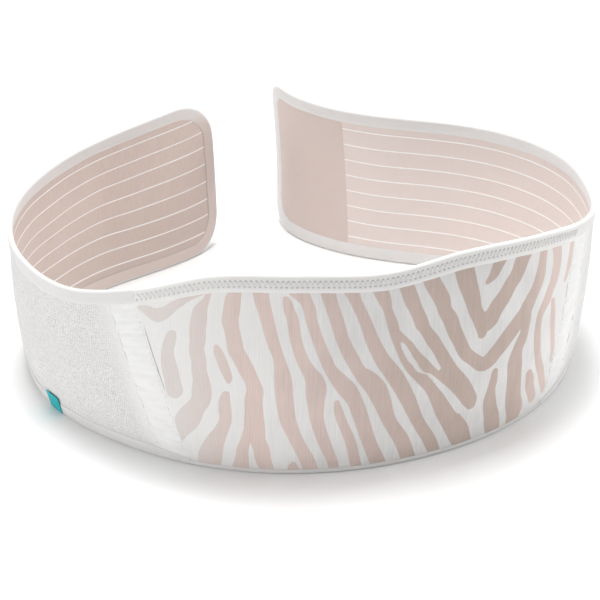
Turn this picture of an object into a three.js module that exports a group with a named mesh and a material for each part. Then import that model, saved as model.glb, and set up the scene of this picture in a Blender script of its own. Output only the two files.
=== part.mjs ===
// Maternity support belt standing on its long edge as an open C, in millimetres, +Z up.
//
// A tall printed panel runs across the front (-Y). A lower wing of ribbed elastic runs back from each
// of its ends, and the two wings end in rounded tips that flare apart at the back (+Y).
//
// Every piece is laid out flat first: s runs along the cloth from the left tip to the right tip,
// y is the height above the long bottom edge, and inward is the depth through the cloth, positive
// towards the wearer. bend() then stands that flat cloth up on the plan curve.

import * as THREE from 'three';
import { mergeVertices } from 'three/addons/utils/BufferGeometryUtils.js';

// Lengths along the cloth.
const wingLength = 360;
const joinStripLength = 20;
const panelLength = 280;
const endPatchLength = 76;

// How much further from its tip each seam lies at the bottom edge than at the top edge. The left
// wing's seams slant more by the skew, and the right wing's less.
const seamSlant = 25;
const seamSkew = 7;
const patchSlant = 8;

// Heights of the cloth.
const panelHeight = 156;
const wingHeight = 124;

// Cloth and tape.
const elasticThickness = 1.4;
const liningThickness = 1.0;
const tapeThickness = 0.8;
const tagThickness = 0.8;
const pieceGap = 0.35;

// Folded tape over the edges.
const wingBindingWidth = 10;
const panelBindingWidth = 12;
const panelHemWidth = 4;
const tipRadius = 28;

// Thin raised ribs along the inner face of each wing.
const ribCount = 8;
const ribMargin = 15.7;
const ribWidth = 2.4;
const ribHeight = 0.5;

// Small cloth tag on the outer face of the left wing's bottom edge.
const tagLength = 15;
const tagHeight = 12;
const tagFromTip = 275;

// How the standing cloth departs from an upright wall.
const leanOut = 4;
const wallBulge = 2.4;
const hemTuck = 2.2;
const hemTuckHeight = 20;
const buckleDepth = 1.6;

// Fineness of the faceted solids.
const stationPitch = 15;
const cornerSteps = 8;
const runInSteps = 3;
const outlineBow = 20;
const outlineThinning = 0.01;

const wallThickness = elasticThickness + pieceGap + liningThickness;
const beltLength = 2 * wingLength + 2 * joinStripLength + panelLength;
const edgeInset = tapeThickness + pieceGap;

// Faces of the cloth's layers, as depths from the middle of the wall.
const outerFace = -wallThickness / 2;
const elasticInnerFace = outerFace + elasticThickness;
const liningOuterFace = elasticInnerFace + pieceGap;
const innerFace = wallThickness / 2;

// Plan curve: direction of the cloth seen from above, in degrees counter-clockwise from +X.
// at is a share of the belt's length.
const directions = [
  { at: 0.000, degrees: 229.6 },
  { at: 0.072, degrees: 213.6 },
  { at: 0.145, degrees: 238.6 },
  { at: 0.217, degrees: 283.3 },
  { at: 0.289, degrees: 318.0 },
  { at: 0.362, degrees: 337.2 },
  { at: 0.434, degrees: 357.7 },
  { at: 0.506, degrees: 375.7 },
  { at: 0.578, degrees: 393.5 },
  { at: 0.651, degrees: 419.2 },
  { at: 0.723, degrees: 455.0 },
  { at: 0.795, degrees: 499.5 },
  { at: 0.868, degrees: 526.5 },
  { at: 0.940, degrees: 510.5 },
  { at: 1.000, degrees: 470.0 },
];

// Height: rise is the share of the step from wing height to panel height.
// Lean: share of leanOut by which the top edge stands outside the bottom edge.
const sections = [
  { at: 0.00, rise: 0.19, lean: 0.9 },
  { at: 0.05, rise: 0.15, lean: 0.5 },
  { at: 0.10, rise: 0.00, lean: 0.1 },
  { at: 0.15, rise: -0.16, lean: 0.1 },
  { at: 0.20, rise: -0.32, lean: 0.6 },
  { at: 0.25, rise: -0.36, lean: 0.8 },
  { at: 0.30, rise: -0.28, lean: 1.0 },
  { at: 0.35, rise: 0.24, lean: 1.0 },
  { at: 0.40, rise: 0.88, lean: 1.0 },
  { at: 0.45, rise: 0.97, lean: 1.0 },
  { at: 0.50, rise: 0.88, lean: 0.9 },
  { at: 0.55, rise: 1.02, lean: 0.9 },
  { at: 0.61, rise: 0.75, lean: 1.0 },
  { at: 0.66, rise: 0.31, lean: 1.0 },
  { at: 0.71, rise: -0.06, lean: 0.9 },
  { at: 0.76, rise: -0.02, lean: 0.8 },
  { at: 0.85, rise: 0.00, lean: 0.3 },
  { at: 0.95, rise: 0.00, lean: -0.2 },
  { at: 1.00, rise: 0.00, lean: -0.5 },
];

// Upright buckles in the cloth: spread is a share of the belt's length, depth a share of buckleDepth
// (positive stands outwards).
const buckles = [
  { at: 0.096, spread: 0.016, depth: 1.0 },
  { at: 0.142, spread: 0.016, depth: -0.8 },
  { at: 0.385, spread: 0.020, depth: 0.6 },
  { at: 0.560, spread: 0.025, depth: 0.8 },
  { at: 0.900, spread: 0.022, depth: -0.8 },
];

// Rounded corners of the wings, as shares of tipRadius.
const corners = {
  left: { top: 1.3, bottom: 1 },
  right: { top: 0.72, bottom: 0.93 },
};

// How far each wing's end reaches past its nominal tip: at is a share of the wing's height.
const tipReach = [
  { at: 0.0, left: 4.5, right: 3 },
  { at: 0.5, left: 5, right: 6 },
  { at: 1.0, left: 1.5, right: 9 },
];

const clamp = THREE.MathUtils.clamp;
const lerp = THREE.MathUtils.lerp;

/** Smooth value of one named column of a table whose rows are placed by their `at` share. */
function along(table, column, share) {
  const last = table.length - 1;
  let row = 0;
  while (row < last - 1 && share > table[row + 1].at) row += 1;
  const value = (index) => table[clamp(index, 0, last)][column];
  const place = (index) => table[clamp(index, 0, last)].at;
  const slope = (index) => {
    const run = place(index + 1) - place(index - 1);
    return (value(index + 1) - value(index - 1)) / run;
  };
  const width = place(row + 1) - place(row);
  const t = clamp((share - place(row)) / width, 0, 1);
  const startWeight = (1 + 2 * t) * (1 - t) ** 2;
  const endWeight = t ** 2 * (3 - 2 * t);
  const startPull = t * (1 - t) ** 2 * width * slope(row);
  const endPull = t ** 2 * (t - 1) * width * slope(row + 1);
  return startWeight * value(row) + endWeight * value(row + 1) + startPull + endPull;
}

/** Direction of the plan curve in radians at a share of the belt's length. */
function directionAt(share) {
  return THREE.MathUtils.degToRad(along(directions, 'degrees', share));
}

/** Plan curve of the bottom edge: equal steps that follow the table of directions. */
function makePlanCurve() {
  const steps = Math.ceil(beltLength / 10);
  const step = beltLength / steps;
  const corners = [new THREE.Vector2(0, 0)];
  for (let i = 0; i < steps; i += 1) {
    const angle = directionAt((i + 0.5) / steps);
    const stride = new THREE.Vector2(Math.cos(angle), Math.sin(angle)).multiplyScalar(step);
    corners.push(corners[i].clone().add(stride));
  }
  return new THREE.SplineCurve(corners);
}

const planCurve = makePlanCurve();

/** Height of the cloth at a share of the belt's length. */
function heightAt(share) {
  return wingHeight + (panelHeight - wingHeight) * along(sections, 'rise', share);
}

/** How far the wall's middle stands outside the plan curve. */
function standOut(share, z, height) {
  const rise = clamp(z / height, 0, 1);
  const lean = leanOut * along(sections, 'lean', share) * rise;
  const bulge = wallBulge * Math.sin(Math.PI * rise);
  const tuck = hemTuck * clamp(1 - z / hemTuckHeight, 0, 1);
  let buckle = 0;
  for (const fold of buckles) {
    buckle += buckleDepth * fold.depth * Math.exp(-(((share - fold.at) / fold.spread) ** 2));
  }
  const awayFromEdge = clamp(3 * Math.min(rise, 1 - rise), 0, 1);
  return lean + bulge - tuck + buckle * awayFromEdge;
}

/** Height above the floor of a point y of the flat cloth: only its middle third is stretched. */
function standingHeight(share, y, nominalHeight) {
  const stretch = clamp((y / nominalHeight - 1 / 3) * 3, 0, 1);
  return y + (heightAt(share) - nominalHeight) * stretch;
}

/** Stands a point of the flat cloth, laid out at a nominal height, up on the plan curve. */
function bend(s, y, inward, nominalHeight) {
  const share = clamp(s / beltLength, 0, 1);
  const height = heightAt(share);
  const z = standingHeight(share, y, nominalHeight);
  const base = planCurve.getPoint(share);
  const angle = directionAt(share);
  const outward = standOut(share, z, height) - inward;
  const beyond = s - share * beltLength;
  return new THREE.Vector3(
    base.x + beyond * Math.cos(angle) + outward * Math.sin(angle),
    base.y + beyond * Math.sin(angle) - outward * Math.cos(angle),
    z,
  );
}

/** Sweeps a closed outline in whole steps, and moves each corner with place(across, up, step). */
function sweep(outline, steps, place) {
  const shape = new THREE.Shape(outline.map((corner) => new THREE.Vector2(corner.across, corner.up)));
  const straight = new THREE.ExtrudeGeometry(shape, { depth: steps, steps, bevelEnabled: false });
  straight.deleteAttribute('normal');
  straight.deleteAttribute('uv');
  const geometry = mergeVertices(straight, 1e-5);
  const corners = geometry.getAttribute('position');
  for (let i = 0; i < corners.count; i += 1) {
    const moved = place(corners.getX(i), corners.getY(i), Math.round(corners.getZ(i)));
    corners.setXYZ(i, moved.x, moved.y, moved.z);
  }
  geometry.computeVertexNormals();
  return geometry;
}

// A wall's outline is drawn thin and bowed while it is swept, so that its flat ends are cut into short
// triangles from row to row.

/** Bow of a wall's outline at height y. */
function bow(y, nominalHeight) {
  const share = y / nominalHeight;
  return 4 * outlineBow * share * (1 - share);
}

/** Corner of a wall's outline for a depth through the cloth at height y. */
function outlineCorner(depth, y, nominalHeight) {
  return { across: depth * outlineThinning + bow(y, nominalHeight), up: y };
}

/** Depth through the cloth of a corner of a wall's outline. */
function depthOf(across, y, nominalHeight) {
  return (across - bow(y, nominalHeight)) / outlineThinning;
}

/** Reach of the corner zones along a wing's end and its long edges. */
const cornerZone = wingHeight / 3;

/** Radius of one rounded corner of a wing. */
function cornerRadius(side, edge) {
  return Math.min(corners[side][edge] * tipRadius, 0.95 * cornerZone);
}

/** Heights of the middle rows of a wall, where the flat cloth is stretched. */
function middleRows(nominalHeight) {
  return [nominalHeight / 3, nominalHeight / 2, nominalHeight * 2 / 3];
}

/** Heights of all rows of a plain wall: closer together at its rounded and tucked edges. */
function wallRows(nominalHeight) {
  const band = nominalHeight / 3 - edgeInset;
  const lower = [0, 0.05, 0.2, 0.5].map((share) => edgeInset + share * band);
  const upper = [...lower].reverse().map((y) => nominalHeight - y);
  return [...lower, ...middleRows(nominalHeight), ...upper];
}

/** Closed outline of a wall: its outer rows going down, then its inner rows going up. */
function wallOutline(outer, inner, nominalHeight, innerRows) {
  const rows = wallRows(nominalHeight);
  const down = [...rows].reverse().map((y) => outlineCorner(outer, y, nominalHeight));
  const plain = rows.map((y) => ({ y, raised: 0 }));
  const back = (innerRows ?? plain).map((row) => (
    outlineCorner(inner + row.raised, row.y, nominalHeight)
  ));
  return [...down, ...back];
}

/** Closed outline of a tape folded over an edge: across is inward, up is the depth from the edge. */
function tapeOutline(width) {
  const outside = wallThickness / 2 + edgeInset;
  const inside = outside - tapeThickness;
  return [
    { across: -outside, up: width },
    { across: -outside, up: 0 },
    { across: outside, up: 0 },
    { across: outside, up: width },
    { across: inside, up: width },
    { across: inside, up: tapeThickness },
    { across: -inside, up: tapeThickness },
    { across: -inside, up: width },
  ];
}

/** Number of sweep steps over a length of cloth. */
function stepsOver(length) {
  return Math.max(2, Math.ceil(length / stationPitch));
}

const stripEdge = wingLength;
const panelEdge = wingLength + joinStripLength;

/** Distance from the near tip to a slanted seam at height y: from is its mid-height distance. */
function seamFromTip(side, from, y, nominalHeight) {
  const share = (side === 'left' ? from : beltLength - from) / beltLength;
  const rise = standingHeight(share, y, nominalHeight) / heightAt(share);
  const slant = seamSlant + (side === 'left' ? seamSkew : -seamSkew);
  return from + slant * (0.5 - rise);
}

/** Distance from the near tip to the cloth's rounded end at height y, set in behind the tape. */
function roundedEnd(side, y) {
  const radius = cornerRadius(side, y < wingHeight / 2 ? 'bottom' : 'top') - edgeInset;
  const reach = clamp(radius + edgeInset - Math.min(y, wingHeight - y), 0, radius);
  return edgeInset + radius - Math.sqrt(radius ** 2 - reach ** 2);
}

// Each wing is stepped in zones, counted from its tip: all of its pieces share these steps, so that
// their facets stay parallel.
const zoneSteps = [
  6,
  stepsOver(endPatchLength - cornerZone),
  stepsOver(wingLength - endPatchLength),
  2,
];
const cornerStep = zoneSteps[0];
const stepsUnderTape = cornerStep / 2;
const patchStep = cornerStep + zoneSteps[1];
const stripStep = patchStep + zoneSteps[2];
const panelStep = stripStep + zoneSteps[3];

/** Distance from the near tip to one step at height y. */
function stepFromTip(side, step, y) {
  const bounds = [
    roundedEnd(side, y),
    cornerZone,
    endPatchLength + (side === 'right' ? patchSlant : 0) * (0.5 - y / wingHeight),
    seamFromTip(side, stripEdge, y, wingHeight),
    seamFromTip(side, panelEdge, y, wingHeight),
  ];
  let zone = 0;
  let past = step;
  while (zone < zoneSteps.length - 1 && past > zoneSteps[zone]) {
    past -= zoneSteps[zone];
    zone += 1;
  }
  return lerp(bounds[zone], bounds[zone + 1], past / zoneSteps[zone]);
}

/** Place along the cloth of a nominal distance from one of its tips at height y. */
function placeFromTip(side, distance, y) {
  const nearTip = clamp(1 - distance / endPatchLength, 0, 1);
  const flat = distance - nearTip * along(tipReach, side, y / wingHeight);
  return side === 'left' ? flat : beltLength - flat;
}

/** One layer of a wing between two of its steps. Its ribs are flat where the tip's tape lies. */
function wingPiece(side, outline, first, last) {
  const steps = last - first;
  return sweep(outline, steps, (across, y, step) => {
    const at = side === 'left' ? first + step : last - step;
    let distance = stepFromTip(side, at, y);
    if (at === first && first > 0) distance += pieceGap / 2;
    if (at === last) distance -= pieceGap / 2;
    const depth = depthOf(across, y, wingHeight);
    const underTape = at < stepsUnderTape;
    const flatDepth = underTape ? Math.min(depth, innerFace) : depth;
    return bend(placeFromTip(side, distance, y), y, flatDepth, wingHeight);
  });
}

const ribPitch = (wingHeight - 2 * ribMargin) / (ribCount - 1);

/** How far the nearest rib's ridge stands above the lining at height y. */
function raisedAt(y) {
  const nearest = clamp(Math.round((y - ribMargin) / ribPitch), 0, ribCount - 1);
  const fromRidge = Math.abs(y - ribMargin - nearest * ribPitch);
  return ribHeight * Math.max(0, 1 - fromRidge / (ribWidth / 2));
}

/** Rows of the lining's inner face: the plain rows, and each rib's two feet and its ridge. */
function ribbedRows() {
  const plain = wallRows(wingHeight);
  const ribs = Array.from({ length: ribCount }, (_, i) => ribMargin + i * ribPitch)
    .flatMap((ridge) => [ridge - ribWidth / 2, ridge, ridge + ribWidth / 2])
    .filter((y) => plain.every((row) => Math.abs(row - y) > pieceGap));
  const rows = [...plain, ...ribs].sort((one, other) => one - other);
  return rows.map((y) => ({ y, raised: raisedAt(y) }));
}

/** Elastic outer layer of one wing, from its rounded tip to the join strip. */
function wingElastic(side) {
  return wingPiece(side, wallOutline(outerFace, elasticInnerFace, wingHeight), 0, stripStep);
}

/** Ribbed inner layer of one wing. The right one stops at the plain end patch. */
function wingLining(side) {
  const outline = wallOutline(liningOuterFace, innerFace, wingHeight, ribbedRows());
  return wingPiece(side, outline, side === 'left' ? 0 : patchStep, stripStep);
}

/** Plain patch that takes the lining's place at the right tip. */
function endPatch() {
  return wingPiece('right', wallOutline(liningOuterFace, innerFace, wingHeight), 0, patchStep);
}

/** Plain strip that joins a wing to the panel, through the whole thickness of the cloth. */
function joinStrip(side) {
  return wingPiece(side, wallOutline(outerFace, innerFace, wingHeight), stripStep, panelStep);
}

/** Place along the cloth of one of the panel's steps at height y, between its two seams. */
function panelPlace(share, y) {
  const left = seamFromTip('left', panelEdge, y, panelHeight) + pieceGap / 2;
  const right = beltLength - seamFromTip('right', panelEdge, y, panelHeight) - pieceGap / 2;
  return lerp(left, right, share);
}

/** Printed front panel, as thick as the wings' two layers together. */
function frontPanel() {
  const steps = stepsOver(panelLength);
  return sweep(wallOutline(outerFace, innerFace, panelHeight), steps, (across, y, step) => {
    const s = panelPlace(step / steps, y);
    return bend(s, y, depthOf(across, y, panelHeight), panelHeight);
  });
}

/** Folded tape along the panel's top or bottom edge. */
function panelTape(edge, width) {
  const steps = stepsOver(panelLength);
  return sweep(tapeOutline(width), steps, (across, reach, step) => {
    const y = edge === 'top' ? panelHeight - reach : reach;
    const share = edge === 'top' ? 1 - step / steps : step / steps;
    return bend(panelPlace(share, y), y, across, panelHeight);
  });
}

/** Folded tape round one wing: along one long edge, round the tip, and back along the other. */
function wingTape(side) {
  const longSteps = panelStep - cornerStep;
  const lowest = cornerRadius(side, 'bottom');
  const highest = wingHeight - cornerRadius(side, 'top');
  const tipRows = [lowest, ...middleRows(wingHeight), highest];
  const tipSteps = tipRows.length - 1;
  const cornerStart = longSteps + runInSteps;
  const half = cornerStart + cornerSteps;
  const total = 2 * half + tipSteps;

  // One half of the way round: from the panel's seam along a long edge, then round its corner.
  const halfWay = (step, reach, top) => {
    const height = (depth) => (top ? wingHeight - depth : depth);
    if (step <= longSteps) {
      const distance = stepFromTip(side, panelStep - step, height(reach));
      return { distance: step === 0 ? distance - pieceGap / 2 : distance, y: height(reach) };
    }
    const radius = cornerRadius(side, top ? 'top' : 'bottom');
    if (step <= cornerStart) {
      const runIn = (step - longSteps) / runInSteps;
      return { distance: lerp(cornerZone, radius, runIn), y: height(reach) };
    }
    const angle = (step - cornerStart) / cornerSteps * Math.PI / 2;
    const arm = radius - reach;
    return {
      distance: radius - arm * Math.sin(angle),
      y: height(radius - arm * Math.cos(angle)),
    };
  };

  // The left tape sets out along the top edge and the right tape along the bottom edge.
  const startsAtTop = side === 'left';
  const flat = (step, reach) => {
    if (step > half && step < half + tipSteps) {
      const row = step - half;
      return { distance: reach, y: tipRows[startsAtTop ? tipSteps - row : row] };
    }
    const returning = step > half;
    return halfWay(returning ? total - step : step, reach, returning !== startsAtTop);
  };

  return sweep(tapeOutline(wingBindingWidth), total, (across, reach, step) => {
    const place = flat(step, reach);
    return bend(placeFromTip(side, place.distance, place.y), place.y, across, wingHeight);
  });
}

/** Small plain tag that lies over the left wing's bottom tape. */
function sideTag() {
  const back = -(wallThickness / 2 + edgeInset + pieceGap);
  const outline = [
    { across: back - tagThickness, up: 0 },
    { across: back, up: 0 },
    { across: back, up: tagHeight },
    { across: back - tagThickness, up: tagHeight },
  ];
  return sweep(outline, 2, (across, up, step) => {
    const y = tapeThickness + up;
    const s = tagFromTip + tagLength * step / 2;
    return bend(s, y, across, wingHeight);
  });
}

const finishes = {
  printedCloth: { color: 0xe9dcd6, roughness: 0.9, metalness: 0 },
  whiteElastic: { color: 0xeeecea, roughness: 0.95, metalness: 0 },
  pinkLining: { color: 0xdab9ad, roughness: 0.92, metalness: 0 },
  plainPink: { color: 0xd0aca0, roughness: 0.9, metalness: 0 },
  whiteTape: { color: 0xf1f0ee, roughness: 0.85, metalness: 0 },
  tealCloth: { color: 0x1fb4bd, roughness: 0.7, metalness: 0 },
};

const belt = new THREE.Group();

/** Adds one named piece to the belt. */
function addPiece(name, geometry, finish) {
  const mesh = new THREE.Mesh(geometry, new THREE.MeshStandardMaterial(finishes[finish]));
  mesh.name = name;
  belt.add(mesh);
}

addPiece('front_panel', frontPanel(), 'printedCloth');
addPiece('panel_top_binding', panelTape('top', panelBindingWidth), 'whiteTape');
addPiece('panel_hem', panelTape('bottom', panelHemWidth), 'whiteTape');
for (const side of ['left', 'right']) {
  addPiece(`${side}_join_strip`, joinStrip(side), 'whiteElastic');
  addPiece(`${side}_wing_elastic`, wingElastic(side), 'whiteElastic');
  addPiece(`${side}_wing_lining`, wingLining(side), 'pinkLining');
  addPiece(`${side}_wing_binding`, wingTape(side), 'whiteTape');
}
addPiece('end_patch', endPatch(), 'plainPink');
addPiece('side_tag', sideTag(), 'tealCloth');

// The origin is under the middle of the belt's bounding box, on the surface that it stands on.
const box = new THREE.Box3().setFromObject(belt);
const middle = box.getCenter(new THREE.Vector3());
belt.position.set(-middle.x, -middle.y, -box.min.z);
belt.updateMatrixWorld(true);

export default belt;
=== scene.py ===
"""Dresses the maternity support belt: printed jersey panel, ribbed elastic wings and folded tapes."""

import logging
import math
from dataclasses import dataclass, field
from enum import Enum
from functools import cached_property

import bpy
import numpy as np
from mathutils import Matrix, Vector


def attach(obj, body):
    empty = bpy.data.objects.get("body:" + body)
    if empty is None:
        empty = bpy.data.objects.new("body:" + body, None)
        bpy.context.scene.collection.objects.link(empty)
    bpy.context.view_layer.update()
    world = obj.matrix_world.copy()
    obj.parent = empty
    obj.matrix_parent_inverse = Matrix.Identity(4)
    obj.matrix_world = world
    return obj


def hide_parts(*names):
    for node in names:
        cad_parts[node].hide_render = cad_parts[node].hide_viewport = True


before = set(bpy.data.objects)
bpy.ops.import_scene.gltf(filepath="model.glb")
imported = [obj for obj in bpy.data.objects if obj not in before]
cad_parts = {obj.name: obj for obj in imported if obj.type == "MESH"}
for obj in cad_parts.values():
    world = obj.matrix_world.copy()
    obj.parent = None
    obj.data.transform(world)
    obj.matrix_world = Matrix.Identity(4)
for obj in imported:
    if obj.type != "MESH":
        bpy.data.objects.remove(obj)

LOG = logging.getLogger("belt")
MM = 0.001
Colour = tuple[float, float, float]
Table = tuple[tuple[float, ...], ...]
Span = tuple[float, float, float, float]
WHITE: Colour = (1.0, 1.0, 1.0)
BLACK: Colour = (0.0, 0.0, 0.0)
SHARP_EDGE = math.radians(55)

# Direction that no thread runs along.
THREAD_ASIDE = (0.13, 0.21, 0.97)

# The zigzag of the top hem: way from one stitch to the next, and its rows from the fold.
STITCH_PITCH = 2.85
STITCH_ROWS = (4.0, 7.4)


class Side(Enum):
    """Which wing of the belt a piece belongs to."""

    LEFT = "left"
    RIGHT = "right"


class Edge(Enum):
    """Long edge of the cloth."""

    TOP = "top"
    BOTTOM = "bottom"


# Heading of the cloth seen from above: share of the belt's length, degrees from +X.
HEADINGS: Table = (
    (0.000, 229.6), (0.072, 213.6), (0.145, 238.6), (0.217, 283.3), (0.289, 318.0),
    (0.362, 337.2), (0.434, 357.7), (0.506, 375.7), (0.578, 393.5), (0.651, 419.2),
    (0.723, 455.0), (0.795, 499.5), (0.868, 526.5), (0.940, 510.5), (1.000, 470.0),
)

# Share of the belt's length, rise from wing height to panel height, outward lean.
SECTIONS: Table = (
    (0.00, 0.19, 0.9), (0.05, 0.15, 0.5), (0.10, 0.00, 0.1), (0.15, -0.16, 0.1),
    (0.20, -0.32, 0.6), (0.25, -0.36, 0.8), (0.30, -0.28, 1.0), (0.35, 0.24, 1.0),
    (0.40, 0.88, 1.0), (0.45, 0.97, 1.0), (0.50, 0.88, 0.9), (0.55, 1.02, 0.9),
    (0.61, 0.75, 1.0), (0.66, 0.31, 1.0), (0.71, -0.06, 0.9), (0.76, -0.02, 0.8),
    (0.85, 0.00, 0.3), (0.95, 0.00, -0.2), (1.00, 0.00, -0.5),
)

# Share of the belt's length, spread as a share of it, depth outwards.
BUCKLES: Table = (
    (0.096, 0.016, 1.0), (0.142, 0.016, -0.8), (0.385, 0.020, 0.6),
    (0.560, 0.025, 0.8), (0.900, 0.022, -0.8),
)

# Share of the nominal radius at each corner of the tips.
CORNERS: dict[tuple[Side, Edge], float] = {
    (Side.LEFT, Edge.TOP): 1.3,
    (Side.LEFT, Edge.BOTTOM): 1.0,
    (Side.RIGHT, Edge.TOP): 0.72,
    (Side.RIGHT, Edge.BOTTOM): 0.93,
}

# Share of the wing's height, how far the left and the right tip reach out there.
TIP_REACH: Table = ((0.0, 3.8, 3.0), (0.5, 6.4, 6.0), (1.0, 2.6, 9.0))

# Way along the whole of a wing's tape, and at each of its stations: see Wing.tape_place.
TAPE_END = 11
TAPE_TRAVEL = 820.0
TAPE_MARKS = (0.0, 20.0, 304.0, 339.0, 350.0, 376.0, 444.0, 470.0, 481.0, 516.0, 800.0, TAPE_TRAVEL)

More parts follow.
